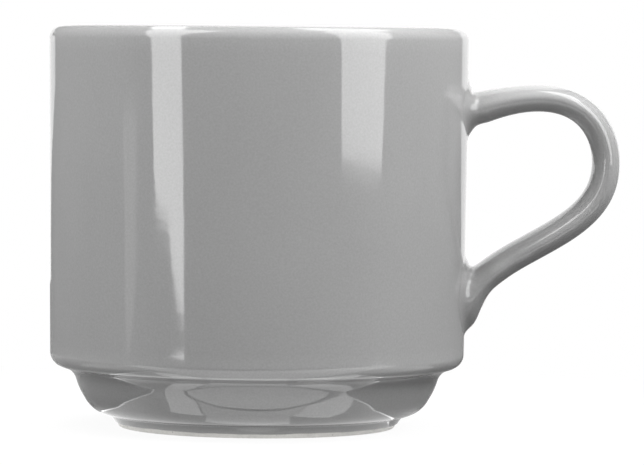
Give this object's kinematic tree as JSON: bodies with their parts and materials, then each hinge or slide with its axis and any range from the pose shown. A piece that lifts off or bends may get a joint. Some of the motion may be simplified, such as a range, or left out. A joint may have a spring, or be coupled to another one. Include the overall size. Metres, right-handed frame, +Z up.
{
  "type": "cappuccino cup",
  "caption": "Stacking cappuccino cup: straight glazed porcelain wall on a stepped base with a foot ring, and one looped side handle for a finger.",
  "frame": {"origin": "centre of the foot ring on the table, on the axis of the cup", "axes": "+Z up along the axis of the cup, +X towards the handle"},
  "size_m": [0.1113, 0.0818, 0.078],
  "materials": {
    "biscuit": "bare fired porcelain, matte",
    "slip": "fired joining slip, matte",
    "grey_glaze": "glossy neutral grey glaze"
  },
  "bodies": {
    "root": {"biscuit_body": "biscuit", "handle": "biscuit", "upper_slip_joint": "slip", "lower_slip_joint": "slip", "outer_glaze": "grey_glaze", "lining_glaze": "grey_glaze", "handle_glaze": "grey_glaze", "underside_glaze": "grey_glaze"}
  },
  "joints": []
}
